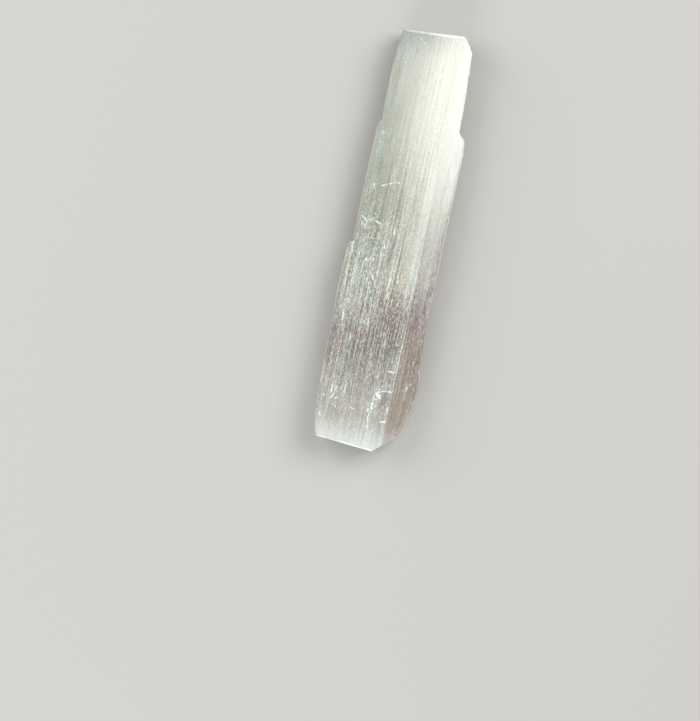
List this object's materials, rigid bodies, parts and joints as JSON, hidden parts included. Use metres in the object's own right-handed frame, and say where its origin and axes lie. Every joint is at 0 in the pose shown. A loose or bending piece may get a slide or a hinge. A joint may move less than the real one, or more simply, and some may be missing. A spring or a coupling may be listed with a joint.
{
  "type": "selenite crystal blade",
  "caption": "Long flat blade of milky selenite crystal with a sloping side facet, stepped edges, slanted ends and fine lengthwise ridges, lying on its flat back.",
  "frame": {"origin": "centre of the bounding box, on the plane that the flat back rests on", "axes": "+Y along the grain to the narrower end with the cut corner, +X to the side with the sloping facet, +Z out of the broad front face"},
  "size_m": [0.0289, 0.12, 0.011],
  "materials": {
    "selenite": "satin"
  },
  "bodies": {
    "root": {"selenite_blade": "selenite"}
  },
  "joints": []
}
